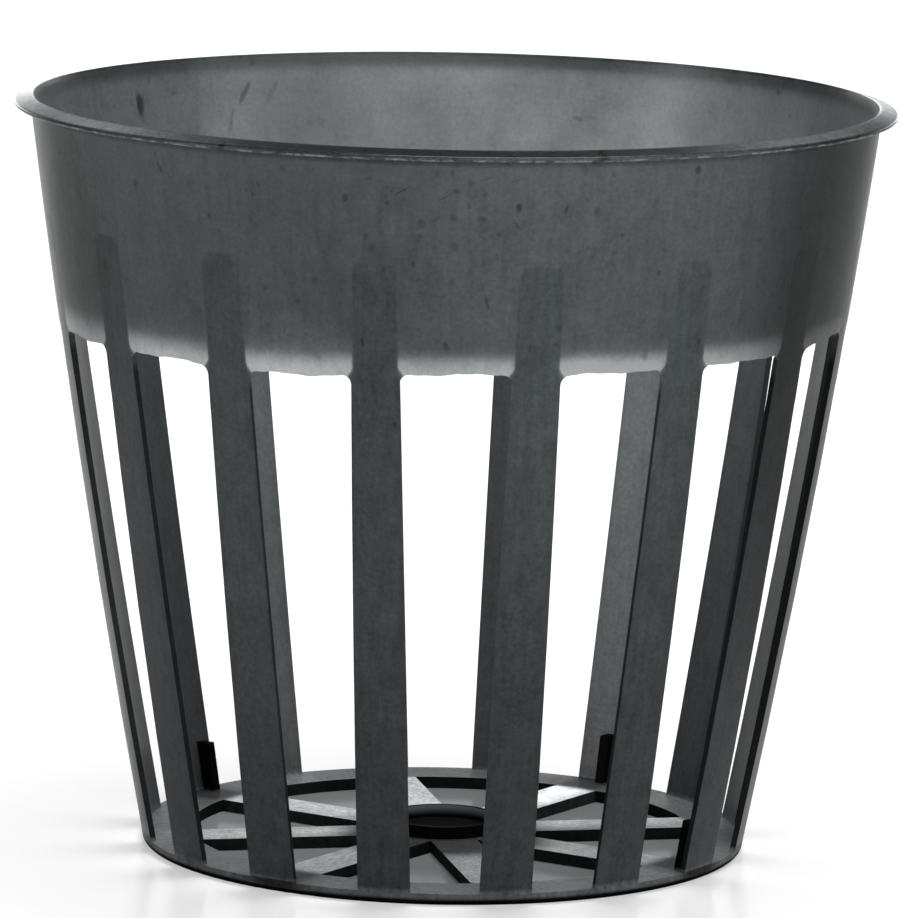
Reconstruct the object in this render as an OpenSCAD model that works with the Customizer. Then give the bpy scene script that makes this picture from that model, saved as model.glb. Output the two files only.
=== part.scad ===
// Hydroponic net pot, moulded in one piece: a thin tapered band under a flared lip,
// straight ribs that run down from inside the band, and an open base of ring, spokes
// and hub tube. Origin: centre of the standing face. +Z is the pot's axis.

/* [Cup] */
// Height over the lip
height = 68.6; // [60:0.1:76]
// Outside diameter of the wall at the mouth, under the lip
mouth_d = 77.2; // [72:0.1:84]
// Outside diameter of the wall at the foot
foot_d = 54.9; // [50:0.1:60]
// How far the wall bows out of a straight cone, halfway up
bow = 0.54; // [0:0.02:1.2]
// Thickness of the plain band
wall_t = 0.35; // [0.3:0.05:0.45]
// Radius of the corner between the wall and the standing face
foot_r = 0.6; // [0.3:0.05:0.9]

/* [Lip] */
// How far the lip stands out past the wall
lip_reach = 1.4; // [1.2:0.1:3]
// Thickness of the lip
lip_t = 0.55; // [0.4:0.05:1]
// How far the lip droops from its inner edge to its outer edge
lip_drop = 0.4; // [0.1:0.05:0.8]
// Radius of the fillet between the lip's underside and the wall
lip_fillet = 0.6; // [0.2:0.05:0.8]

/* [Band] */
// Height of the band's lower edge above the standing face
band_z = 48.6; // [44:0.1:52]
// Height over which the band thins down to its lower edge
feather_h = 2.4; // [1:0.1:4]
// Thickness left at the lower edge
feather_t = 0.15; // [0.1:0.05:0.3]

/* [Ribs] */
// Number of ribs, an even number
ribs = 16; // [12:2:20]
// Width of a rib at the foot
rib_foot_w = 4.7; // [3.5:0.1:5.5]
// Width of a rib at the band's lower edge
rib_top_w = 4.2; // [3:0.1:5.5]
// Thickness of a rib
rib_t = 0.55; // [0.5:0.05:1.3]
// Radius of a slot's upper corners
slot_r = 0.9; // [0.4:0.1:1.5]
// Height of the rib ends inside the band
rib_end_z = 58.3; // [54:0.1:62]
// Width of a rib end inside the band
rib_end_w = 3.8; // [2.5:0.1:5]
// Corner radius of a rib end
rib_end_r = 0.9; // [0.3:0.1:1.2]

/* [Base] */
// Thickness of the base ring
ring_t = 1.1; // [0.9:0.05:1.6]
// Inside diameter of the base ring
ring_bore = 46.4; // [42:0.2:48]
// Width of a spoke
spoke_w = 4.3; // [3:0.1:5]
// Thickness of a spoke
spoke_t = 1.1; // [0.7:0.05:1.4]
// Outside diameter of the hub tube
hub_d = 10.4; // [8:0.1:13]
// Thickness of the hub tube's wall
hub_wall = 0.5; // [0.4:0.05:1.2]
// Height of the hub tube above the standing face
hub_h = 2.3; // [2:0.1:5]
// How far the disc that closes the hub tube stands above the spokes
hub_step = 0.1; // [0.05:0.05:0.3]

/* [Nesting lugs] */
// Thickness of a lug
lug_t = 0.9; // [0.6:0.1:2]
// How far a lug stands in from its rib
lug_reach = 1.4; // [0.5:0.1:2.5]
// How far a lug stands off the middle of its rib, clockwise from above
lug_offset = 0.8; // [0:0.1:1]
// Height of a lug's top above the standing face
lug_z = 5.6; // [4:0.1:9]

/* [Hidden] */
$fn = 180;
POT_GREY = [0.23, 0.25, 0.25];
OVERLAP = 0.25;          // depth by which joined forms run into each other
CLEAR = 5;               // length by which a cutter runs past what it cuts
CAGE_STEPS = 4;          // straight stretches of the bowed wall below the band
BAND_STEPS = 3;          // and along the band
pitch = 360 / ribs;
spokes = ribs / 2;
spoke_pitch = 360 / spokes;
lug_pitch = 2 * spoke_pitch;
first_rib = pitch / 2;   // a slot faces -Y, so the first rib is half a pitch round
first_lug = first_rib + spoke_pitch;
foot_rad = foot_d / 2;
mouth_rad = mouth_d / 2;
ring_rad = ring_bore / 2;
hub_rad = hub_d / 2;
lip_under = height - lip_drop - lip_t;

// Outside radius of the wall at height z
function wall_rad(z) =
    let (t = z / height)
    foot_rad + (mouth_rad - foot_rad) * t + 4 * bow * t * (1 - t);

// Points up the wall from z0 to z1, at a depth below its outside
function wall_line(z0, z1, depth, steps) =
    [for (i = [0:steps]) let (z = z0 + (z1 - z0) * i / steps) [wall_rad(z) - depth, z]];

function reversed(list) = [for (i = [len(list) - 1:-1:0]) list[i]];

// Half the distance between the middles of two neighbouring ribs at height z
function half_gap(z) = wall_rad(z) * sin(pitch / 2);

// Plain band, thinned to a feather edge along its lower rim
module band() {
    rotate_extrude()
        polygon(concat(
            wall_line(band_z, lip_under, 0, BAND_STEPS),
            reversed(wall_line(band_z + feather_h, lip_under, wall_t, BAND_STEPS)),
            [[wall_rad(band_z) - feather_t, band_z]]));
}

// Flared lip: drooping top, rounded outer edge, level underside filleted to the wall
module lip() {
    inner = wall_rad(height) - wall_t;
    edge_r = lip_t / 2;
    edge_x = wall_rad(height) + lip_reach - edge_r;
    root_x = wall_rad(lip_under) + lip_fillet;
    root_z = lip_under - lip_fillet;
    rotate_extrude() {
        difference() {
            polygon([
                [inner, height],
                [edge_x, height - lip_drop],
                [edge_x, lip_under],
                [root_x, lip_under],
                [root_x, root_z],
                [wall_rad(root_z) - wall_t / 2, root_z],
                [wall_rad(lip_under) - wall_t, lip_under]]);
            translate([root_x, root_z])
                circle(r = lip_fillet);
        }
        translate([edge_x, lip_under + edge_r])
            circle(r = edge_r);
    }
}

// Revolved blank of the ribs: base ring, rib wall and, past a small step in its
// outside that lets the band lap over it, the rib ends
module cage_blank() {
    lap = feather_t / 2;
    rotate_extrude()
        polygon(concat(
            [[ring_rad, 0]],
            wall_line(0, band_z, 0, CAGE_STEPS),
            wall_line(band_z, rib_end_z, lap, BAND_STEPS),
            reversed(wall_line(ring_t, rib_end_z, rib_t, CAGE_STEPS + BAND_STEPS)),
            [[ring_rad, ring_t]]));
}

// Slot between two ribs, with round upper corners, as seen from outside
module slot_outline() {
    foot = half_gap(ring_t) - rib_foot_w / 2;
    top = half_gap(band_z) - rib_top_w / 2;
    lean = (top - foot) / (band_z - ring_t);
    corner_z = band_z - slot_r;
    corner_x = top - lean * slot_r - slot_r * sqrt(1 + lean * lean);
    polygon([
        [-foot, ring_t],
        [foot, ring_t],
        [top - lean * slot_r, corner_z],
        [corner_x, band_z],
        [-corner_x, band_z],
        [-top + lean * slot_r, corner_z]]);
    for (side = [-1, 1])
        translate([side * corner_x, corner_z])
            circle(r = slot_r);
}

// Space between two rib ends, which have round corners at their tops
module end_gap_outline() {
    low = half_gap(band_z) - rib_end_w / 2;
    high = half_gap(rib_end_z) - rib_end_w / 2;
    corner_z = rib_end_z - rib_end_r;
    polygon([
        [-low, band_z],
        [low, band_z],
        [high, corner_z],
        [high, rib_end_z + CLEAR],
        [-high, rib_end_z + CLEAR],
        [-high, corner_z]]);
    for (side = [-1, 1])
        difference() {
            translate([side * (high + rib_end_r / 2) - rib_end_r / 2, corner_z])
                square([rib_end_r, rib_end_r + CLEAR]);
            translate([side * (high + rib_end_r), corner_z])
                circle(r = rib_end_r);
        }
}

// Cuts an upright outline straight out through the wall, once for each slot
module cut_outward() {
    for (i = [0:ribs - 1])
        rotate([90, 0, i * pitch])
            translate([0, 0, ring_rad / 2])
                linear_extrude(height = mouth_rad)
                    children();
}

// What is cut away outside the round corner of the foot, tangent to the lowest wall
module foot_corner() {
    step_z = band_z / CAGE_STEPS;
    lean = atan((wall_rad(step_z) - foot_rad) / step_z);
    x = foot_rad - foot_r / tan((90 + lean) / 2);
    rotate_extrude()
        difference() {
            polygon([
                [x, -CLEAR],
                [foot_rad + CLEAR, -CLEAR],
                [foot_rad + CLEAR, 0],
                [x + foot_r * cos(lean), foot_r - foot_r * sin(lean)],
                [x, foot_r]]);
            translate([x, foot_r])
                circle(r = foot_r);
        }
}

module cage() {
    difference() {
        cage_blank();
        cut_outward()
            slot_outline();
        cut_outward()
            end_gap_outline();
        foot_corner();
    }
}

// Spokes that cross under the hub tube's floor
module spokes() {
    for (i = [0:spokes - 1])
        rotate(first_rib + i * spoke_pitch)
            translate([-spoke_w / 2, -ring_rad - OVERLAP, 0])
                cube([spoke_w, ring_rad + OVERLAP, spoke_t]);
}

module hub() {
    difference() {
        cylinder(r = hub_rad, h = hub_h);
        translate([0, 0, spoke_t + hub_step])
            cylinder(r = hub_rad - hub_wall, h = hub_h);
    }
}

// Lugs that keep stacked pots from wedging, at every second spoke
module lugs() {
    foot_x = wall_rad(ring_t) - rib_t;
    top_x = wall_rad(lug_z) - rib_t;
    for (i = [0:spokes / 2 - 1])
        rotate([90, 0, first_lug + i * lug_pitch - 90])
            translate([0, 0, lug_offset - lug_t / 2])
                linear_extrude(height = lug_t)
                    polygon([
                        [foot_x - lug_reach, ring_t - OVERLAP],
                        [foot_x + OVERLAP, ring_t - OVERLAP],
                        [top_x + OVERLAP, lug_z],
                        [top_x - lug_reach, lug_z]]);
}

module net_pot() {
    color(POT_GREY)
        union() {
            lip();
            band();
            cage();
            spokes();
            hub();
            lugs();
        }
}

net_pot();
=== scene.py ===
"""Looks of the hydroponic net pot: thin grey polypropylene, moulded in one piece, on a white table."""

import math
from types import SimpleNamespace

import bmesh
import bpy
import numpy as np
from mathutils import Matrix, Vector


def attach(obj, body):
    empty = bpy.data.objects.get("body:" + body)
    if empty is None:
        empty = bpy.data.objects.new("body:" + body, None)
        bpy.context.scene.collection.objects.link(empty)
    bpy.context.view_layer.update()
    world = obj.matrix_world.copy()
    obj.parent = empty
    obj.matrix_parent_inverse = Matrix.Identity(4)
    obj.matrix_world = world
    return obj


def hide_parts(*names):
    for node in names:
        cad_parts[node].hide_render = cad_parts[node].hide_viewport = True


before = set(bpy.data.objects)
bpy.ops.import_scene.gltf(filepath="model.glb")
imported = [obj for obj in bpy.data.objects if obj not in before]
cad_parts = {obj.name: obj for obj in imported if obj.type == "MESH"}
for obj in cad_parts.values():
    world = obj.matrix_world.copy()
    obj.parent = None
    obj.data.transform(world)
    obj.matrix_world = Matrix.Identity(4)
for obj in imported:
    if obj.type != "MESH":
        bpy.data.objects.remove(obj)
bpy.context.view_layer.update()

MM = 0.001

# Sizes of the moulding in millimetres, as the part's source has them
HEIGHT, MOUTH_RAD, FOOT_RAD, BOW = 68.6, 38.6, 27.45, 0.54
WALL_T, LIP_DROP, BAND_Z, SLOT_R = 0.35, 0.4, 48.6, 0.9
RIBS, RIB_FOOT_W, RIB_TOP_W, RIB_T = 16, 4.7, 4.2, 0.55
RIB_END_Z, RIB_END_W, RIB_END_R = 58.3, 3.8, 0.9
RING_T, RING_BORE_RAD, HUB_RAD, HUB_BORE_RAD = 1.1, 23.2, 5.2, 4.7
# Finer here than in the part's source: the lip is slimmer and its fillet smaller, and the feathered
# edge under the band is longer and thinner
LIP_REACH, LIP_T, LIP_FILLET = 1.38, 0.5, 0.25
FEATHER_H, FEATHER_T = 3.4, 0.07
PITCH = math.radians(360 / RIBS)
CORNER_Z = BAND_Z - SLOT_R       # where the rounded top corners of the slots begin


# ---- Nodes ----

# The setting that holds the mode of a node, and the modes that come up most
MODE_SETTING = {
    "Math": "operation", "VectorMath": "operation", "MapRange": "interpolation_type", "Mix": "data_type",
}
ADD, SUBTRACT, MULTIPLY, DIVIDE = "Math ADD", "Math SUBTRACT", "Math MULTIPLY", "Math DIVIDE"
MAXIMUM, ABSOLUTE, ROOT = "Math MAXIMUM", "Math ABSOLUTE", "Math SQRT"
STEP = "MapRange SMOOTHSTEP"     # values: what is measured, from, to, result at from, result at to
BLEND = "Mix RGBA"
FROM, TO, BLENDED = 6, 7, 2      # places of a blend's two colours and of its result


def linear(hex_colour):
    """sRGB hex to linear RGBA."""
    out = []
    for i in (0, 2, 4):
        c = int(hex_colour[i:i + 2], 16) / 255
        out.append(c / 12.92 if c <= 0.04045 else ((c + 0.055) / 1.055) ** 2.4)
    return (*out, 1.0)


WHITE, BLACK = linear("ffffff"), linear("000000")


def node_adder(tree):
    """Empties a node tree and gives the one function that adds a node to it."""
    tree.nodes.clear()

    def add(kind, *values, inputs=None, out=0, **settings):
        """Adds a node, sets or links its inputs, and gives one output, or all of them if out is None.

        kind is the node's type, with its mode after a space. values go to the inputs in order, and
        inputs reaches others by name or place. None leaves an input as it is.
        """
        kind, _, mode = kind.partition(" ")
        node = tree.nodes.new("ShaderNode" + kind)
        if mode:
            settings[MODE_SETTING[kind]] = mode
        for name, value in settings.items():
            setattr(node, name, value)
        for place, value in [*enumerate(values), *(inputs or {}).items()]:
            if isinstance(value, bpy.types.NodeSocket):
                tree.links.new(value, node.inputs[place])
            elif value is not None:
                node.inputs[place].default_value = value
        return node.outputs[out] if node.outputs and out is not None else node.outputs

    return add


# ---- Moulded polypropylene ----

# Greys of the pigment, which lies in clouds, and of the base, painted paler as a painted sheen in place of
# much of its shine, with a painted highlight on the back spokes
PIGMENT_LOW, PIGMENT_HIGH = "2d3334", "393f40"
RING_GREY, SPOKE_GREY, SPOKE_HIGHLIGHT_GREY = "565a5c", "909496", "c4c8ca"
WHITENED_AND_LIT_EDGE_GREY = "8a8e8e"           # the lip's edge: stress-whitened, with a painted highlight
SHADED_GREY, BORE_LIGHT_GREY = "08090a", "767a7c"
THROUGH_GREY = "f0f2f3"          # light that has crossed the wall
LOW_TINT = "f9eff2"              # low on the ribs the grey is a little deeper and more neutral

# Patterns: the size of one cloud, grain, streak and so on in millimetres. A noise's values are its
# place, nothing, its scale, detail and roughness.
CLOUD_MM, GRAIN_MM, MOTTLE_MM, WANDER_MM = 9.091, 0.3846, 1.818, 1.111
STREAK_WIDE_MM, STREAK_LONG_MM = 0.7486, 11.11
FRAY_WIDE_MM, FRAY_TALL_MM = 0.9624, 0.625
STREAK_DEPTH, GRAIN_DEPTH, MOTTLE_DEPTH = 1.3, 1.8, 1.1
GRAIN_HEIGHT_MM = 0.02

# Light through the wall
CORE_SHIFT = 0.08                # mm that the core sat off centre, towards the back
CLOUD_WALL, STREAK_WALL = 0.12, 0.05     # mm that clouds and streaks thicken the wall to light
LEAST_WALL = 0.03                # mm
CLOUDINESS = -5.0                # how fast the wall loses light, per mm
CLEARNESS, EDGE_CLEARNESS = 0.6, 0.43
FEATHERED = (0.06, 0.32)         # mm of wall between a clear edge and a plain wall
SHIFTED = (0.1, WALL_T)          # mm of wall over which the core's shift comes to count
SPOILT_CLOUDS = 0.6              # share of the light that a black mark stops
SHOW_THROUGH = 0.27              # how much of the pattern shows in the light that comes through

# Shine
POLYPROPYLENE_IOR = 1.47
SHINE_ROUGHNESS, BASE_ROUGHER, LIP_SMOOTHER = 0.28, 0.16, 0.13
SHINE_SHARE = 0.58
BASE_CALM, SHADE_CALM = 0.6, 0.95        # share of the shine that the base and the shade lose
# Share that the lip's two ends lose: mm to the right, from and to, and the share at each
LIP_RIGHT_CALM, LIP_LEFT_CALM = (33.0, 37.0, 0.15, 0.75), (-37.0, -33.0, 0.35, 0.0)
PATCH_SHINE = (0.35, 1.0, 0.68, 1.0)     # share that stays where a patch is painted darker

# Where one part passes into the next, in mm: heights, then distances from the axis
WALLS_START, OVER_BASE, OVER_RING = (1.15, 1.6), (1.12, 1.18), (1.12, 1.3)
BASE_SIDE, FOOT_EDGE, RIBS_START = (1.08, 1.14), (0.4, 0.8), (1.2, 1.6)
LOW_RIBS, RIBS_END = (10.0, 36.0), (46.0, 48.0)
BORE_LIT, LUG_FOOT, LUG_TOP = (1.3, 2.5), (1.12, 1.25), (6.0, 6.2)
LIP_START = (HEIGHT - LIP_DROP - 0.15, HEIGHT - LIP_DROP)
HUB_SIDE, HUB_BORE = (HUB_RAD + 0.3, HUB_RAD + 0.8), (HUB_BORE_RAD + 0.02, HUB_BORE_RAD + 0.15)
SPOKES_END, LIP_INSIDE = (RING_BORE_RAD - 0.6, RING_BORE_RAD + 0.2), (MOUTH_RAD - 0.3, MOUTH_RAD)
HUB_SHADE, LUG_SHADE, LUG_INSIDE = (6.5, 10.5), (21.5, 24.0), (24.0, 24.5)
BASE_SIDE_OUT, FOOT_OUT = (26.0, 26.4), (26.6, 26.9)
RIB_INSIDE, RIB_LEAN = 26.86, 0.19       # the ribs' inner face at the table, and mm outward a mm up
LUG_TURN, LUG_REPEAT = 57, 90    # degrees from the front to one of the lugs, and between lugs
LUG_INSET = (0.0, 0.15)          # mm in from the ribs' inner face
LUG_ROUND = (0.1, 0.36)          # sines of twice the turn from a lug, over which its shade fades
# Towards the front the hub's shade is longer: mm to the back, from and to, and by how much
HUB_SHADE_FRONT, HUB_SHADE_LONGER = (-8.0, 2.0), 3.5
# Painted highlight: the spokes grow paler towards the back
SPOKE_HIGHLIGHT_SPAN = (-5.0, 15.0)        # mm to the back, between the greys of the spokes
HUB_DARK, LUG_DARK, SIDE_DARK, RIB_SIDE_DARK = 0.88, 0.8, 0.97, 0.75     # share of full shade
# How a face lies: upward share of its normal from wall to level, and outward share from side to front
UPRIGHT, RIB_SIDE = (0.3, 0.6), (0.4, 0.8)
# Painted light: the lip's top is painted dark at the front as shade, and pale at the sides as a sheen:
# degrees from the front, and the tones
LIP_TURN, LIP_FRONT_SHADE, LIP_SIDE_SHEEN = (25.0, 62.0), 0.25, 3.3
# The pale line's ragged pattern: where it breaks off, and how pale it is between and on the line
FRAYED, EDGE_PALE_LEAST, EDGE_PALE_MOST = (0.42, 0.62), 0.05, 0.95

# Painted light and shade: soft patches where the plastic is darker, given as denser pigment, or
# paler where the depth is below 0: turn in degrees, height in mm, half width in degrees, half height
# in mm, depth
PAINTED_PATCHES = [
    (64, 52, 23, 46, 0.66), (-66, 56, 14, 22, 0.38), (20, 56, 30, 34, -0.38), (147, 25, 9, 40, -1.7),
    (-146, 25, 9, 40, -0.95), (124, 25, 8, 40, -0.6), (-20, 4, 40, 14, 0.2), (88, 22, 16, 34, 0.75),
    (150, 62, 34, 12, -0.35), (-79, 20, 9, 24, -0.9), (1, 49.5, 10, 3, 0.15),
    (-22, 50.5, 10, 3.5, -0.3), (-33, 20, 9, 40, -0.16), (12, 14, 14, 22, 0.12),
]
# Shares of its half size where a patch, and likewise a spot and a mark, starts to fade and is gone
PATCH_FADE, SPOT_FADE, MARK_FADE = (0.3, 1.2), (0.2, 1.3), (0.5, 1.2)

# Specks of burnt resin, small flecks, and scuffs that lie along the rim: at most one to a cell of this
# size in mm, its largest radius in mm, how black it is, and how long it is for its height
SPOTS = [(6.25, 0.5, 0.8, 1.0), (2.5, 0.4, 0.38, 1.0), (3.7037, 0.2222, 0.55, 2.857)]
SPOT_RARITY = 0.7                # share of the cells that stay empty
NICK_CELL, NICK_RAD, NICK_RARITY, NICK_BLACK = 1.4286, 0.4286, 0.66, 0.4
LEAST_SPOT = 1e-4                # of a cell, where a cell is empty
SMALL_SPOT, SMALL_FAINT = (0.0, 0.6), 0.2        # the smallest spots are the faintest
# The spots gather where the melt met, high on the front: the heights and the turns from the front over
# which they thin out, with the share that is left lower down and further round
SPECK_HEIGHT, SPECKS_LOW = (44.0, 60.0), 0.5
SPECK_TURN, SPECKS_ASIDE = (10.0, 70.0), 0.55
NICK_HEIGHT, NICK_TURN = (54.0, 60.0), (12.0, 36.0)

# Scuffs and smears on the wall: turn from the front in degrees, height, half width, half height in mm,
# lean in mm sideways a mm up, and how black
MARKS = [
    (-129, 64.6, 0.5, 1.3, 0.05, 0.8), (-148.5, 65.0, 0.35, 1.2, -0.6, 0.65),
    (-146, 62.3, 0.3, 1.4, -0.25, 0.35), (-153, 65.0, 0.3, 1.3, -0.6, 0.25),
    (-136, 65.5, 0.6, 0.3, 0.0, 0.4), (127, 67.0, 0.3, 0.5, 0.0, 0.5), (161, 62.7, 0.6, 0.3, 1.2, 0.4),
    (-7.5, 64.9, 0.18, 0.5, 1.9, 0.6), (3.5, 66.1, 0.13, 0.35, 3.2, 0.45),
    (32.5, 66.5, 0.35, 0.35, 0.0, 0.7), (-43, 65.4, 0.25, 0.5, -0.5, 0.5),
    (4, 55.1, 0.22, 0.7, -0.3, 0.55), (-0.5, 65.0, 0.4, 0.3, 0.0, 0.6), (-15, 64.1, 0.25, 0.35, 0.0, 0.5),
    (-9.5, 63.8, 0.3, 0.3, 0.0, 0.5), (-1.5, 64.6, 0.14, 0.5, 1.7, 0.5), (7, 65.9, 0.12, 0.3, 2.6, 0.35),
    (-3, 62.5, 0.15, 0.4, 1.2, 0.4), (14, 63.4, 0.22, 0.5, 0.3, 0.5), (-12, 65.9, 0.13, 0.3, 2.0, 0.4),
    (22, 61.0, 0.25, 0.25, 0.0, 0.5), (-28, 63.8, 0.2, 0.3, 0.0, 0.45), (-35, 61.5, 0.2, 0.25, 0.0, 0.4),
    (28, 57.5, 0.2, 0.3, 0.0, 0.5), (-6, 58.5, 0.2, 0.3, 0.0, 0.45), (18, 68.1, 0.5, 0.5, 0.0, 0.9),
    (-31, 68.0, 0.3, 0.5, 0.0, 0.7), (-13, 51.4, 0.2, 0.6, 0.0, 0.6), (-22, 54.7, 0.3, 0.25, 0.0, 0.5),
    (-8.5, 44.1, 0.3, 0.5, 0.0, 0.6),
]
MARK_RAGGED = 1.5


def places(add):
    """Where a point of the pot is, in mm and degrees from the front, and how it faces."""
    mm = add("VectorMath MULTIPLY", add("TexCoord", out="Object"), (1 / MM, 1 / MM, 1 / MM))
    x, y, z = add("SeparateXYZ", mm, out=None)
    radius = add(ROOT, add(ADD, add(MULTIPLY, x, x), add(MULTIPLY, y, y)))
    turn = add(MULTIPLY, add("Math ARCTAN2", x, add(MULTIPLY, y, -1.0)), 180 / math.pi)
    faces_x, faces_y, faces_z = add("SeparateXYZ", add("TexCoord", out="Normal"), out=None)
    outward = add(ADD, add(MULTIPLY, faces_x, x), add(MULTIPLY, faces_y, y))
    return SimpleNamespace(
        mm=mm, x=x, y=y, z=z, radius=radius, turn=turn,
        off_front=add(ABSOLUTE, turn),
        along=add(MULTIPLY, turn, MOUTH_RAD * math.pi / 180),
        outward=add(ABSOLUTE, add(DIVIDE, outward, radius)),
        upright=add(STEP, add(ABSOLUTE, faces_z), *UPRIGHT, 1.0, 0.0),
        base=add(STEP, z, *WALLS_START, 1.0, 0.0),
        wander=add("TexNoise", mm, None, 1 / WANDER_MM, out=None),
    )


def length(add, a, b):
    """Length of a step of a one way and b across it."""
    return add(ROOT, add(ADD, add(MULTIPLY, a, a), add(MULTIPLY, b, b)))


def patterns(add, at):
    """Flow streaks, clouds of pigment and grain, and all the fine ones together, round zero."""
    # The plastic flowed down the wall, so its streaks are fine across and long in height.
    flow = add(
        "CombineXYZ", add(MULTIPLY, at.along, 1 / STREAK_WIDE_MM), add(MULTIPLY, at.z, 1 / STREAK_LONG_MM),
        at.radius,
    )
    streak = add("TexNoise", flow, None, 1.0, 4.0, 0.65)
    cloud = add("TexNoise", at.mm, None, 1 / CLOUD_MM, 3.0, 0.55)
    grain = add("TexNoise", at.mm, None, 1 / GRAIN_MM, 3.0, 0.7)
    mottle = add("TexNoise", at.mm, None, 1 / MOTTLE_MM, 4.0, 0.65)
    fine = 0.0
    for pattern, depth in ((streak, STREAK_DEPTH), (grain, GRAIN_DEPTH), (mottle, MOTTLE_DEPTH)):
        fine = add(ADD, fine, add(MULTIPLY, add(SUBTRACT, pattern, 0.5), depth))
    return SimpleNamespace(streak=streak, cloud=cloud, grain=grain, fine=fine)


def spots(add, place, cell, largest, rarity):
    """Round spots: one in some of the cells of a random honeycomb, 0 outside and 1 inside."""
    cells = add("TexVoronoi", place, inputs={"Scale": 1 / cell}, voronoi_dimensions="2D", out=None)
    grown = add(STEP, add("SeparateColor", cells["Color"]), rarity, 1.0)
    radius = add(MAXIMUM, add(MULTIPLY, grown, largest / cell), LEAST_SPOT)
    inside = add(STEP, add(DIVIDE, cells["Distance"], radius), *SPOT_FADE, 1.0, 0.0)
    return add(MULTIPLY, inside, add(STEP, grown, *SMALL_SPOT, SMALL_FAINT, 1.0))


def mark(add, at, turn, height, half_width, half_height, lean, black):
    """One ragged mark on the wall."""
    up = add(SUBTRACT, at.z, height)
    aside = add(SUBTRACT, at.along, turn * MOUTH_RAD * math.pi / 180)
    aside = add(SUBTRACT, aside, add(MULTIPLY, up, lean))
    reach = length(add, add(DIVIDE, aside, half_width), add(DIVIDE, up, half_height))
    reach = add(ADD, reach, add(MULTIPLY, add(SUBTRACT, at.wander[0], 0.5), MARK_RAGGED))
    return add(STEP, reach, *MARK_FADE, black, 0.0)


def wear(add, at):
    """Specks, scuffs, nicks and smears: 0 where the plastic is clean, 1 where it is black."""
    unrolled = add("CombineXYZ", at.along, add(SUBTRACT, at.z, at.radius))
    bent = add("VectorMath ADD", unrolled, at.wander["Color"])
    spoilt = 0.0
    for cell, largest, black, stretch in SPOTS:
        place = add("VectorMath MULTIPLY", bent, (1 / stretch, 1.0, 1.0))
        layer = spots(add, place, cell, largest, SPOT_RARITY)
        spoilt = add(MAXIMUM, spoilt, add(MULTIPLY, layer, black))
    gather = add(STEP, at.z, *SPECK_HEIGHT, SPECKS_LOW, 1.0)
    gather = add(MULTIPLY, gather, add(STEP, at.off_front, *SPECK_TURN, 1.0, SPECKS_ASIDE))
    spoilt = add(MULTIPLY, spoilt, gather)
    # Nicks lie close together just there.
    worn = add(MULTIPLY, add(STEP, at.z, *NICK_HEIGHT), add(STEP, at.off_front, *NICK_TURN, 1.0, 0.0))
    worn = add(MULTIPLY, worn, NICK_BLACK)
    nicks = spots(add, bent, NICK_CELL, NICK_RAD, NICK_RARITY)
    spoilt = add(MAXIMUM, spoilt, add(MULTIPLY, nicks, worn))
    for one in MARKS:
        spoilt = add(MAXIMUM, spoilt, mark(add, at, *one))
    return spoilt


def painted_patches(add, at):
    """Painted light and shade in soft patches, given as denser or thinner pigment: less than 1 where darker.
    """
    patch_tone = 1.0
    for turn, height, half_width, half_height, depth in PAINTED_PATCHES:
        aside = add(DIVIDE, add(SUBTRACT, at.turn, turn), half_width)
        up = add(DIVIDE, add(SUBTRACT, at.z, height), half_height)
        patch_tone = add(MULTIPLY, patch_tone, add(STEP, length(add, aside, up), *PATCH_FADE, 1.0 - depth, 1.0))
    return patch_tone


def hub_shade(add, at):
    """Painted shade on the hub tube and the base round its foot, longest at the front, and painted light in
    its bore.
    """
    tube = add(MULTIPLY, add(STEP, at.radius, *HUB_SIDE, 1.0, 0.0), add(STEP, at.z, *OVER_BASE))
    off_hub = add(SUBTRACT, at.radius, add(STEP, at.y, *HUB_SHADE_FRONT, HUB_SHADE_LONGER, 0.0))
    round_hub = add(STEP, off_hub, *HUB_SHADE, HUB_DARK, 0.0)
    round_hub = add(MULTIPLY, round_hub, add(STEP, at.z, *OVER_BASE, 1.0, 0.0))
    # Painted light: the upper part of the tube's bore is paler, as where light from above reaches it.
    bore = add(MULTIPLY, tube, add(STEP, at.radius, *HUB_BORE, 1.0, 0.0))
    bore = add(MULTIPLY, add(MULTIPLY, bore, at.upright), add(STEP, at.z, *BORE_LIT))
    return add(MAXIMUM, tube, round_hub), bore


def lug_shade(add, at):
    """The lugs, which stand just inside the ribs, and the ring round the foot of each of them."""
    off_lug = add(MULTIPLY, add(SUBTRACT, at.turn, LUG_TURN), math.pi / LUG_REPEAT)
    round_lug = add(STEP, add(ABSOLUTE, add("Math SINE", off_lug)), *LUG_ROUND, LUG_DARK, 0.0)
    on_ring = add(MULTIPLY, add(STEP, at.radius, *LUG_SHADE), add(STEP, at.z, *OVER_RING, 1.0, 0.0))
    inset = add(SUBTRACT, add(ADD, add(MULTIPLY, at.z, RIB_LEAN), RIB_INSIDE), at.radius)
    lug = add(MULTIPLY, add(STEP, inset, *LUG_INSET), add(STEP, at.z, *LUG_FOOT))
    lug = add(MULTIPLY, lug, add(STEP, at.radius, *LUG_INSIDE))
    lug = add(MULTIPLY, lug, add(STEP, at.z, *LUG_TOP, 1.0, 0.0))
    return add(MAXIMUM, lug, add(MULTIPLY, round_lug, on_ring))


def edge_shade(add, at):
    """The narrow walls that stand in their own shade: of the spokes and ring, the foot and the ribs."""
    cheek = add(MULTIPLY, at.upright, add(STEP, at.z, *BASE_SIDE, 1.0, 0.0))
    cheek = add(MULTIPLY, cheek, add(STEP, at.radius, *BASE_SIDE_OUT, SIDE_DARK, 0.0))
    foot = add(MULTIPLY, add(STEP, at.z, *FOOT_EDGE, 1.0, 0.0), add(STEP, at.radius, *FOOT_OUT))
    flank = add(STEP, at.outward, *RIB_SIDE, RIB_SIDE_DARK, 0.0)
    flank = add(MULTIPLY, flank, add(STEP, at.z, *RIBS_START))
    flank = add(MULTIPLY, flank, add(STEP, at.z, *RIBS_END, 1.0, 0.0))
    return add(MAXIMUM, add(MAXIMUM, cheek, foot), flank)


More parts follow.
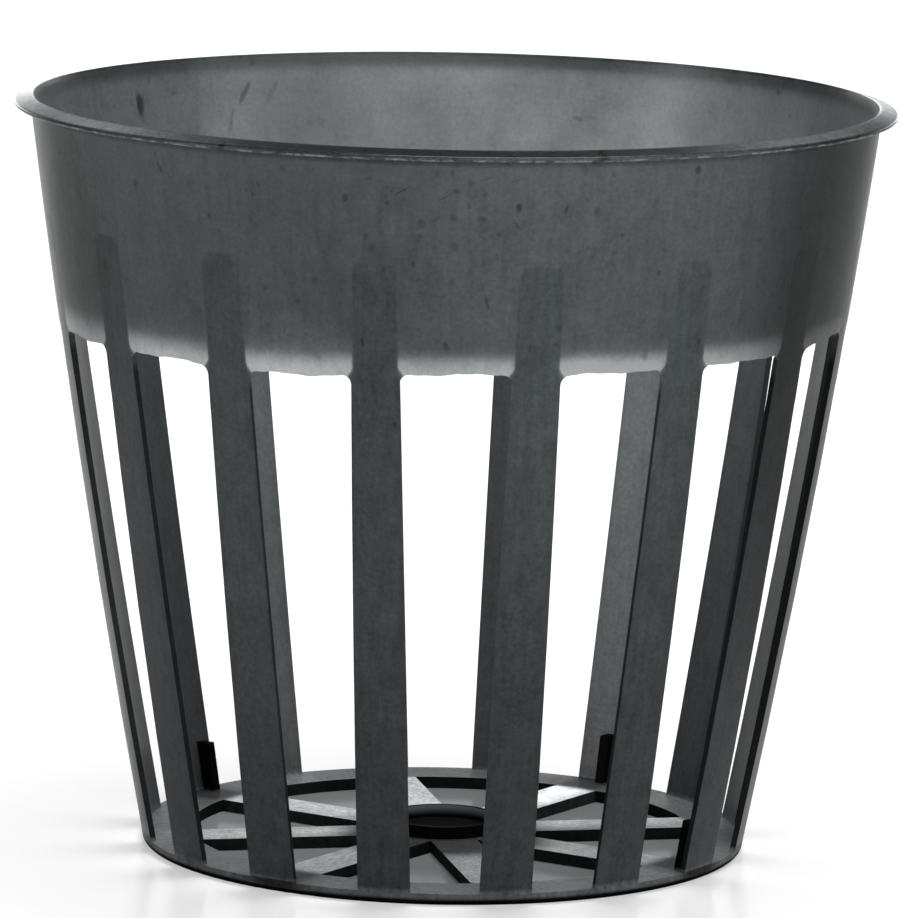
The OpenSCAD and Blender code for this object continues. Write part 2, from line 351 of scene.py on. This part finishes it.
def grey_and_painted_sheen(add, at, cloud):
    """The plastic's grey in clouds of pigment on the walls, and on the spokes and ring a painted sheen,
    with a painted highlight on the back spokes.
    """
    grey = {FROM: linear(PIGMENT_LOW), TO: linear(PIGMENT_HIGH)}
    grey = add(BLEND, cloud, inputs=grey, out=BLENDED)
    tint = {FROM: linear(LOW_TINT), TO: WHITE}
    grey = add("VectorMath MULTIPLY", grey, add(BLEND, add(STEP, at.z, *LOW_RIBS), inputs=tint, out=BLENDED))
    # Painted sheen on the spokes, with a painted highlight on the back ones
    spoke = {FROM: linear(SPOKE_GREY), TO: linear(SPOKE_HIGHLIGHT_GREY)}
    spoke = add(BLEND, add(STEP, at.y, *SPOKE_HIGHLIGHT_SPAN), inputs=spoke, out=BLENDED)
    flat = {FROM: spoke, TO: linear(RING_GREY)}
    flat = add(BLEND, add(STEP, at.radius, *SPOKES_END), inputs=flat, out=BLENDED)
    return add(BLEND, at.base, inputs={FROM: grey, TO: flat}, out=BLENDED)


def whitened_and_lit_edge(add, at):
    """The lip's edge at the parting line, pale in a ragged line: stress whitening and a painted highlight.
    """
    frayed = add(
        "CombineXYZ", add(MULTIPLY, at.along, 1 / FRAY_WIDE_MM), add(MULTIPLY, at.z, 1 / FRAY_TALL_MM)
    )
    frayed = add("TexNoise", frayed, None, 1.0, 3.0, 0.7)
    edge = add("Attribute", attribute_name="edge", out="Fac")
    return add(MULTIPLY, edge, add(STEP, frayed, *FRAYED, EDGE_PALE_LEAST, EDGE_PALE_MOST))


def light_through(add, at, pattern):
    """Share of the light that crosses the wall, by how thick the wall is there."""
    wall = add("Attribute", attribute_name="wall_mm", out="Fac")
    # The core sat a little off centre: the wall is thicker on the side that faces -Y.
    shift = add(MULTIPLY, add(DIVIDE, at.y, at.radius), -CORE_SHIFT)
    shift = add(MULTIPLY, shift, add(STEP, wall, *SHIFTED))
    wall = add(ADD, wall, add(MULTIPLY, add(SUBTRACT, pattern.cloud, 0.5), CLOUD_WALL))
    wall = add(ADD, wall, add(MULTIPLY, add(SUBTRACT, pattern.streak, 0.5), STREAK_WALL))
    wall = add(MAXIMUM, add(ADD, wall, shift), LEAST_WALL)
    deep = add(MULTIPLY, add("Math EXPONENT", add(MULTIPLY, wall, CLOUDINESS)), CLEARNESS)
    edge = add(MULTIPLY, add(STEP, wall, *FEATHERED, 1.0, 0.0), EDGE_CLEARNESS)
    return add(ROOT, add(ADD, deep, edge))


def shine(add, at, lip, dark, patch_tone):
    """Share of the soft shine: on the outside of a face, and less on the base, in the shade, at the
    lip's two ends and where a patch is painted darker."""
    coat = add("Fresnel", POLYPROPYLENE_IOR)
    coat = add(MULTIPLY, coat, add(SUBTRACT, 1.0, add("NewGeometry", out="Backfacing")))
    calm = add(MAXIMUM, add(MULTIPLY, at.base, BASE_CALM), add(MULTIPLY, dark, SHADE_CALM))
    coat = add(MULTIPLY, coat, add(SUBTRACT, 1.0, calm))
    ends = add(ADD, add(STEP, at.x, *LIP_RIGHT_CALM), add(STEP, at.x, *LIP_LEFT_CALM))
    coat = add(MULTIPLY, coat, add(SUBTRACT, 1.0, add(MULTIPLY, lip, ends)))
    coat = add(MULTIPLY, coat, add(STEP, patch_tone, *PATCH_SHINE))
    return add(MULTIPLY, coat, SHINE_SHARE)


def polypropylene():
    """Injection-moulded polypropylene with a grey pigment: it takes a soft shine, and lets light
    through where the wall is thin, so ribs read dark and the band's lower edge glows."""
    m = bpy.data.materials.new("moulded_polypropylene_grey")
    m.use_nodes = True
    add = node_adder(m.node_tree)
    at = places(add)
    pattern = patterns(add, at)
    spoilt = wear(add, at)
    clean = add(SUBTRACT, 1.0, spoilt)
    # Painted light and shade in soft patches
    patch_tone = painted_patches(add, at)
    lip = add(MULTIPLY, add(STEP, at.z, *LIP_START), add(STEP, at.radius, *LIP_INSIDE))
    hub_dark, bore = hub_shade(add, at)
    dark = add(MAXIMUM, add(MAXIMUM, hub_dark, lug_shade(add, at)), edge_shade(add, at))

    tone = add(MULTIPLY, add(MULTIPLY, add(ADD, pattern.fine, 1.0), clean), patch_tone)
    # Painted shade on the lip's front and a painted sheen at its sides
    lip_shade_and_sheen = add(STEP, at.off_front, *LIP_TURN, LIP_FRONT_SHADE, LIP_SIDE_SHEEN)
    lip_shade_and_sheen = add(SUBTRACT, lip_shade_and_sheen, 1.0)
    tone = add(MULTIPLY, tone, add(ADD, add(MULTIPLY, lip, lip_shade_and_sheen), 1.0))
    colour = add("VectorMath SCALE", grey_and_painted_sheen(add, at, pattern.cloud), inputs={"Scale": tone})
    # Stress whitening and a painted highlight along the lip's edge
    edge_pale = add(MULTIPLY, whitened_and_lit_edge(add, at), clean)
    for share, grey in ((edge_pale, WHITENED_AND_LIT_EDGE_GREY), (dark, SHADED_GREY), (bore, BORE_LIGHT_GREY)):
        colour = add(BLEND, share, inputs={FROM: colour, TO: linear(grey)}, out=BLENDED)

    share = add(MAXIMUM, dark, add(MULTIPLY, spoilt, SPOILT_CLOUDS))
    share = add(MULTIPLY, light_through(add, at, pattern), add(SUBTRACT, 1.0, share))
    share = add(MULTIPLY, share, add(ADD, 1.0, add(MULTIPLY, pattern.fine, SHOW_THROUGH)))
    share = add(MULTIPLY, share, add(ROOT, patch_tone))
    body = add("MixShader", share, add("BsdfDiffuse", colour), add("BsdfTranslucent", linear(THROUGH_GREY)))

    rough = add(ADD, SHINE_ROUGHNESS, add(MULTIPLY, at.base, BASE_ROUGHER))
    rough = add(SUBTRACT, rough, add(MULTIPLY, lip, LIP_SMOOTHER))
    bump = {"Strength": 1.0, "Distance": GRAIN_HEIGHT_MM * MM, "Height": pattern.grain}
    gloss = add("BsdfAnisotropic", WHITE, rough, inputs={"Normal": add("Bump", inputs=bump)})
    add("OutputMaterial", add("MixShader", shine(add, at, lip, dark, patch_tone), body, gloss))
    return m


# ---- The moulding's shape ----

CUT_Z = 44.0             # the base and the lower ribs are the CAD part's own mesh, up to here
FIRST_ROW_Z = 49.25      # the lowest height at which rib and slot columns share their rows
LOW_ROWS = 7             # rows from the slots' edge, or their corners, up to that height
RIB_ROWS = [CUT_Z, 44.8, 45.6, 46.3, 46.8, 47.25]        # on the ribs only
ROWS = [49.6, 50.0, 50.5, 51.0, 51.6, 52.4, 53.4, 54.6, 55.8, 56.8, 57.3, 57.55, 57.8, 58.0,
        58.15, 58.3, 58.45, 59.0, 60.2, 61.6, 63.0, 64.4, 65.6, 66.5, 67.05]
MOUTH_ROWS = (68.2, 67.6)        # inside the mouth, down from the lip
# Columns: shares of a rib's half width, and mm from a slot's side, closest at its rounded corner
RIB_COLUMNS = [-1, -0.95, -0.9, -0.85, -0.55, -0.25, 0, 0.25, 0.55, 0.85, 0.9, 0.95, 1]
SLOT_STEPS = [0, 0.04, 0.13, 0.26, 0.43, 0.64, 0.9, 1.25, 1.6, 1.95, 2.3, 2.65, 3.0, 3.35, 3.7, 4.1]

# The lip's profile
FILLET_STEPS, EDGE_STEPS = 6, 8
EDGE_ROWS = range(3, 11)         # the rows that the pale line may take
LIP_TOP_SHARES = (0.3, 0.6, 0.85)
LIP_INNER_ROUND = [(0.06, 0.015), (0.015, 0.05)]         # mm out from the mouth, and down from the top

# The band's lower edge wanders up and down: height in mm, waves round the pot, and their start
WAVES = [(0.55, 1, -0.1), (0.14, 5, 1.0), (0.1, 9, 2.1), (0.05, 23, 0.0), (0.05, 41, 0.7), (0.03, 97, 2.0)]
SWAY_STARTS, SWAY_ENDS = (44.2, CORNER_Z), (49.0, 52.0)

# A rib in the band is a thicker stripe. Where its full thickness ends, then where the wall's own begins:
# mm past its side, how much further where the rib comes out of the band, and the heights between.
STRIPE_SIDES = [(-0.05, 1.6, 46.6, 48.2), (0.1, 2.3, 47.0, 49.4)]
LEAST_FADE = 0.1
STRIPE_END = (RIB_END_R - 0.05, RIB_END_R + 0.08)

# Thickness that light has to cross, in mm
LIP_WALL = 1.0           # it crosses the lip slantwise
RIB_THICKER = 0.35       # more at the foot of a rib than at CUT_Z
BASE_UP_TO = 1.3         # height of the base, which is as thick as its ring is tall

# Distances in metres within which points are one
SAME_POINT, SEAM, SLIVER, ON_CUT = 1e-6, 4e-6, 2e-6, 1e-7
SHARP = math.radians(32) # edges that turn more than this are crisp
WALL_LIKE = 0.985        # cosine between a facet of the wall and the wall's true normal
WALL_FROM, WALL_TO, WALL_OUTSIDE = 0.7, HEIGHT - 1.7, 20         # heights and distance of the wall, mm


def smooth(value, low, high):
    """A smooth step from 0 at low to 1 at high."""
    t = np.clip((np.asarray(value, float) - low) / (high - low), 0, 1)
    return t * t * (3 - 2 * t)


def wall_rad(z):
    """Outer radius of the tapered, slightly bowed wall at height z."""
    t = z / HEIGHT
    return FOOT_RAD + (MOUTH_RAD - FOOT_RAD) * t + 4 * BOW * t * (1 - t)


def slot_half(z):
    """Half the width of a slot at height z."""
    foot = wall_rad(RING_T) * math.sin(PITCH / 2) - RIB_FOOT_W / 2
    top = wall_rad(BAND_Z) * math.sin(PITCH / 2) - RIB_TOP_W / 2
    return foot + (top - foot) * (z - RING_T) / (BAND_Z - RING_T)


def rib_half_angle(z, depth):
    """Half the angle that a rib takes up, at height z and at a depth below the outside."""
    low = np.minimum(z, CORNER_Z)
    rad = wall_rad(low) - depth
    return float((PITCH / 2 - np.arcsin(slot_half(low) / rad)) * rad / (wall_rad(z) - depth))


def sway(z, turn):
    """How far a point near the band's lower edge is moved up or down."""
    weight = float(smooth(z, *SWAY_STARTS) * (1 - smooth(z, *SWAY_ENDS)))
    return weight * sum(height * math.sin(waves * turn + start) for height, waves, start in WAVES)


def thickness(off_rib, z):
    """Wall thickness at a distance from the middle of a rib."""
    plain = FEATHER_T + (WALL_T - FEATHER_T) * smooth(z, BAND_Z, BAND_Z + FEATHER_H)
    half = RIB_END_W / 2
    inner, outer = (
        half + past + spread * (1 - smooth(z, low, high)) for past, spread, low, high in STRIPE_SIDES
    )
    rib = 1 - smooth(off_rib, inner, max(outer, inner + LEAST_FADE))
    if z > RIB_END_Z - RIB_END_R:
        aside = max(off_rib - (half - RIB_END_R), 0)
        rib = min(rib, 1 - smooth(math.hypot(aside, z - (RIB_END_Z - RIB_END_R)), *STRIPE_END))
    return float(plain + (RIB_T - plain) * rib)


def slot_columns():
    """Columns across a slot, as shares of its half width."""
    width = slot_half(CORNER_Z)
    side = [1 - step / width for step in SLOT_STEPS]
    return [-share for share in side] + [0.0] + side[::-1]


def lip_profile():
    """The lip from the outside of the wall round to its inner edge: (radius, height) pairs."""
    under = HEIGHT - LIP_DROP - LIP_T
    root_x, root_z = wall_rad(under) + LIP_FILLET, under - LIP_FILLET
    edge_r = LIP_T / 2
    edge_x = wall_rad(HEIGHT) + LIP_REACH - edge_r
    line = []
    for i in range(FILLET_STEPS + 1):
        a = math.pi - i * math.pi / 2 / FILLET_STEPS
        line.append((root_x + LIP_FILLET * math.cos(a), root_z + LIP_FILLET * math.sin(a)))
    for i in range(EDGE_STEPS + 1):
        a = -math.pi / 2 + i * math.pi / EDGE_STEPS
        line.append((edge_x + edge_r * math.cos(a), under + edge_r + edge_r * math.sin(a)))
    inner = wall_rad(HEIGHT) - WALL_T
    for share in LIP_TOP_SHARES:
        line.append((edge_x + (inner - edge_x) * share, HEIGHT - LIP_DROP * (1 - share)))
    for out, down in LIP_INNER_ROUND:
        line.append((inner + out, HEIGHT - down))
    return line


def spot(turn, rad, z, wall, edge=0.0):
    """A point of the mesh, the wall's thickness there, and 1 if it is on the lip's edge."""
    return rad * math.sin(turn), -rad * math.cos(turn), z, wall, edge


def column(is_rib, centre, share, inside):
    """One upright line of points up a rib, or up the band over a slot, on its outside or inside."""
    def turn_at(z, depth):
        half = rib_half_angle(z, depth)
        return centre + share * (half if is_rib else PITCH / 2 - half)

    low = CORNER_Z
    if not is_rib:
        into_corner = max(0, SLOT_R - (1 - abs(share)) * slot_half(CORNER_Z))
        low = CORNER_Z + math.sqrt(max(0, SLOT_R ** 2 - into_corner ** 2))
    levels = [low + (FIRST_ROW_Z - low) * t for t in np.linspace(0, 1, LOW_ROWS)] + ROWS
    if is_rib:
        levels = RIB_ROWS + levels
    points = []
    for level in levels:
        z = float(level + sway(level, turn_at(level, 0)))
        off_rib = abs((turn_at(z, 0) / PITCH) % 1.0 - 0.5) * PITCH * wall_rad(z)
        wall = thickness(off_rib, level)
        depth = wall if inside else 0
        points.append(spot(turn_at(z, depth), wall_rad(z) - depth, z, wall))
    return points


def lip_rows(outer_row, inner_row):
    """Rows of points from the outside of the band, round the lip and down to the inside."""
    turns = [math.atan2(point[0], -point[1]) for point in outer_row]
    rows = [outer_row]
    for i, (rad, z) in enumerate(lip_profile()[1:], start=1):
        on_edge = float(i in EDGE_ROWS)
        rows.append([spot(turn, rad, z, LIP_WALL, on_edge) for turn in turns])
    for z in MOUTH_ROWS:
        rows.append([spot(turn, wall_rad(z) - WALL_T, z, WALL_T) for turn in turns])
    return rows + [inner_row]


def upper_pot():
    """The band, its lip and the tops of the ribs: points (x, y, z, wall, edge) and faces."""
    points, faces = [], []

    def grid(rows):
        """Adds rows of points as a sheet of quads."""
        start, wide = len(points), len(rows[0])
        for row in rows:
            points.extend(row)
        for i in range(len(rows) - 1):
            for j in range(wide - 1):
                a = start + i * wide + j
                faces.append((a, a + 1, a + wide + 1, a + wide))

    for k in range(RIBS):
        for is_rib, centre in ((True, PITCH * (k + 0.5)), (False, PITCH * k)):
            shares = RIB_COLUMNS if is_rib else slot_columns()
            outer, inner = (
                [list(row) for row in zip(*(column(is_rib, centre, share, inside) for share in shares))]
                for inside in (False, True)
            )
            grid(outer)
            grid([row[::-1] for row in inner])
            if is_rib:
                # The rib's two sides, up to the corners of the slots
                sides = range(len(RIB_ROWS) + 1)
                grid([[inner[i][0], outer[i][0]] for i in sides])
                grid([[outer[i][-1], inner[i][-1]] for i in sides])
            else:
                grid([inner[0], outer[0]])
            grid(lip_rows(outer[-1], inner[-1]))
    return points, faces


def wall_normal(co):
    """The outward normal of the tapered wall at a point in millimetres."""
    rad = math.hypot(co.x, co.y)
    slope = wall_rad(co.z + 0.5) - wall_rad(co.z - 0.5)
    return Vector((co.x / rad, co.y / rad, -slope)).normalized()


def true_wall_normals(mesh):
    """Gives each corner on the tapered wall the normal of the wall itself, so long facets don't show."""
    normals = [n.vector.copy() for n in mesh.corner_normals]
    for face in mesh.polygons:
        mid = face.center / MM
        if not WALL_FROM <= mid.z <= WALL_TO or math.hypot(mid.x, mid.y) < WALL_OUTSIDE:
            continue
        side = face.normal.dot(wall_normal(mid))
        if abs(side) < WALL_LIKE:
            continue
        for loop in face.loop_indices:
            true = wall_normal(mesh.vertices[mesh.loops[loop].vertex_index].co / MM)
            normals[loop] = true if side > 0 else -true
    mesh.normals_split_custom_set(normals)


def moulding(node):
    """The whole pot as one mesh: the CAD part below CUT_Z, and the detailed band and lip above it."""
    mould = bmesh.new()
    mould.from_mesh(node.data)
    bmesh.ops.remove_doubles(mould, verts=mould.verts, dist=SAME_POINT)
    bmesh.ops.bisect_plane(
        mould, geom=mould.verts[:] + mould.edges[:] + mould.faces[:], dist=ON_CUT,
        plane_co=(0, 0, CUT_Z * MM), plane_no=(0, 0, 1), clear_outer=True,
    )
    wall_layer = mould.verts.layers.float.new("wall_mm")
    edge_layer = mould.verts.layers.float.new("edge")
    for v in mould.verts:
        height = v.co.z / MM
        v[wall_layer] = RIB_T + RIB_THICKER * (1 - height / CUT_Z) if height > BASE_UP_TO else RING_T
    points, faces = upper_pot()
    made = []
    for x, y, z, wall, edge in points:
        v = mould.verts.new(Vector((x, y, z)) * MM)
        v[wall_layer] = wall
        v[edge_layer] = edge
        made.append(v)
    for corners in faces:
        mould.faces.new([made[i] for i in corners])
    bmesh.ops.remove_doubles(mould, verts=mould.verts, dist=SEAM)
    bmesh.ops.dissolve_degenerate(mould, edges=mould.edges, dist=SLIVER)
    mould.normal_update()
    for f in mould.faces:
        f.smooth = True
    for e in mould.edges:
        e.smooth = len(e.link_faces) == 2 and e.calc_face_angle(math.pi) < SHARP
    mesh = bpy.data.meshes.new("net_pot_moulding")
    mould.to_mesh(mesh)
    mould.free()
    true_wall_normals(mesh)
    pot = bpy.data.objects.new("net_pot_moulding", mesh)
    bpy.context.scene.collection.objects.link(pot)
    return pot


pot = moulding(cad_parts["net_pot"])
pot.data.materials.append(polypropylene())
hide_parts("net_pot")
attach(pot, "root")


# ---- Table ----

TABLE_SIZE = 4                   # m
LACQUER_WHITE, LACQUER_SEEN = "c8c8c8", "f0f0f0"         # as it lights the pot, and as the camera sees it
# Painted shadow under the pot, lighter towards the back
UNDER_POT_SHADOW, UNDER_POT_SHADOW_BACK = "646868", "7a7e7e"
UNDER_POT_DEPTH = (-0.022, 0.004)        # m from the axis, between these two greys
CLEAR_OF_POT = (0.0235, 0.0275)          # m from the axis
TABLE_HELD = 0.46                # share of the lamps' light that the table holds back from the camera
# Light that it gives instead, near the pot and further off, so the shadows stay soft; less near the pot, a
# painted shade round it
TABLE_LIFT_NEAR, TABLE_LIFT_FAR = 0.4416, 0.528
TABLE_LIFT_REACH = (0.028, 0.07)         # m from the axis
TABLE_SHINE, TABLE_ROUGHNESS = 0.1, 0.16


def table_finish():
    """Sprayed white lacquer on a board: white all round, a painted shadow under the pot that is lighter
    towards the back, and glossy enough for a soft reflection of the foot."""
    m = bpy.data.materials.new("sprayed_white_lacquer")
    m.use_nodes = True
    add = node_adder(m.node_tree)
    place = add("TexCoord", out="Object")
    reach = add("VectorMath LENGTH", place, out="Value")
    depth = add("SeparateXYZ", place, out="Y")
    seen = add("LightPath", out="Is Camera Ray")
    clear = add(STEP, reach, *CLEAR_OF_POT)
    seen_clear = add(MULTIPLY, seen, clear)
    shade = {FROM: linear(UNDER_POT_SHADOW), TO: linear(UNDER_POT_SHADOW_BACK)}
    shade = add(BLEND, add(STEP, depth, *UNDER_POT_DEPTH), inputs=shade, out=BLENDED)
    white = {FROM: linear(LACQUER_WHITE), TO: linear(LACQUER_SEEN)}
    white = add(BLEND, seen, inputs=white, out=BLENDED)
    colour = add(BLEND, clear, inputs={FROM: shade, TO: white}, out=BLENDED)
    held = add(MULTIPLY, seen_clear, TABLE_HELD)
    colour = add(BLEND, held, inputs={FROM: colour, TO: BLACK}, out=BLENDED)
    gloss = add("BsdfAnisotropic", WHITE, TABLE_ROUGHNESS)
    body = add("MixShader", TABLE_SHINE, add("BsdfDiffuse", colour), gloss)
    lift = add(STEP, reach, *TABLE_LIFT_REACH, TABLE_LIFT_NEAR, TABLE_LIFT_FAR)
    glow = add("Emission", WHITE, add(MULTIPLY, seen_clear, lift))
    add("OutputMaterial", add("AddShader", body, glow))
    return m


bpy.ops.mesh.primitive_plane_add(size=TABLE_SIZE)
table = bpy.context.object
table.name = "table"
table.data.materials.append(table_finish())


# ---- Light and camera ----

TENT_FRONT, TENT_BACK, FRONT_GLOW = 0.08, 7.5, 2.1
BACKDROP_DEPTH = (0.6, 1.0)      # how straight behind the pot the backdrop is: edge, and fully lit
# Heights over which the backdrop dims, and its share of the light above them
DIM_HEIGHT, DIM_SHARE = (0.0, 0.24), 0.11
TOP_HEIGHT, TOP_SHARE = (0.4, 0.62), 0.15
# The glow in front of the pot: where it is, and from its soft edge to its core
GLOW_TURN, GLOW_RISE = math.radians(24), math.radians(12)
GLOW_EDGE, GLOW_CORE = math.radians(52), math.radians(16)

# Round lamps: name, place, aim, width in m, power in W
LAMPS = [
    ("overhead_soft_box", (0.1, 0.1, 0.9), (0, 0, 0.03), 0.6, 7.0),
    ("left_strip", (-0.82, -0.37, 0.13), (0, 0, 0.04), 0.3, 1.25),
    ("right_strip", (0.845, -0.31, 0.13), (0, 0, 0.04), 0.3, 0.55),
]

LENS, SENSOR = 294.5, 36         # mm
CAMERA_FAR, AIM_SIDE, AIM_Z = 686.28, 0.956, 35.528      # mm
CAMERA_TILT, CAMERA_ROLL, CAMERA_SWING = 9.3365, 1.1314, -0.764      # degrees


def light_tent():
    """A white backdrop that is bright low down behind the pot, and a broad, soft glow in front of it."""
    world = bpy.data.worlds.new("light_tent")
    bpy.context.scene.world = world
    world.use_nodes = True
    add = node_adder(world.node_tree)
    way = add("TexCoord", out="Generated")
    _, y, z = add("SeparateXYZ", way, out=None)
    dim = add(MULTIPLY, add(STEP, z, *DIM_HEIGHT, 1.0, DIM_SHARE), add(STEP, z, *TOP_HEIGHT, 1.0, TOP_SHARE))
    back = add(MULTIPLY, add(MULTIPLY, add(STEP, y, *BACKDROP_DEPTH), dim), TENT_BACK)
    aim = (
        math.sin(GLOW_TURN) * math.cos(GLOW_RISE), -math.cos(GLOW_TURN) * math.cos(GLOW_RISE),
        math.sin(GLOW_RISE),
    )
    facing = add("VectorMath DOT_PRODUCT", way, aim, out="Value")
    front = add(STEP, facing, math.cos(GLOW_EDGE), math.cos(GLOW_CORE), 0.0, FRONT_GLOW)
    lit = add(ADD, add(ADD, TENT_FRONT, back), front)
    # The camera sees plain white behind the pot.
    strength = add("Mix FLOAT", add("LightPath", out="Is Camera Ray"), None, lit, 1.0)
    add("OutputWorld", add("Background", WHITE, strength))


def lamp(name, place, aim, size, power):
    data = bpy.data.lights.new(name, "AREA")
    data.shape = "DISK"
    data.size = size
    data.energy = power
    o = bpy.data.objects.new(name, data)
    bpy.context.scene.collection.objects.link(o)
    o.location = place
    o.rotation_euler = (Vector(aim) - Vector(place)).to_track_quat("-Z", "Y").to_euler()


def camera():
    """A long lens, a little above the rim, with the small roll of a hand-set tripod."""
    tilt, roll, swing = (math.radians(a) for a in (CAMERA_TILT, CAMERA_ROLL, CAMERA_SWING))
    ahead = Vector((0, math.cos(tilt), -math.sin(tilt)))
    right = Vector((1, 0, 0))
    up = Vector((0, math.sin(tilt), math.cos(tilt)))
    place = (Vector((AIM_SIDE, 0, AIM_Z)) - ahead * CAMERA_FAR) * MM
    across = right * math.cos(roll) + up * math.sin(roll)
    above = -right * math.sin(roll) + up * math.cos(roll)
    data = bpy.data.cameras.new("camera")
    data.sensor_width = SENSOR
    data.sensor_fit = "HORIZONTAL"
    data.lens = LENS
    o = bpy.data.objects.new("camera", data)
    bpy.context.scene.collection.objects.link(o)
    bpy.context.scene.camera = o
    rows = [(across[i], above[i], -ahead[i], place[i]) for i in range(3)]
    o.matrix_world = Matrix.Rotation(swing, 4, "Z") @ Matrix((*rows, (0, 0, 0, 1)))


light_tent()
for settings in LAMPS:
    lamp(*settings)
camera()
bpy.context.scene.view_settings.view_transform = "Standard"
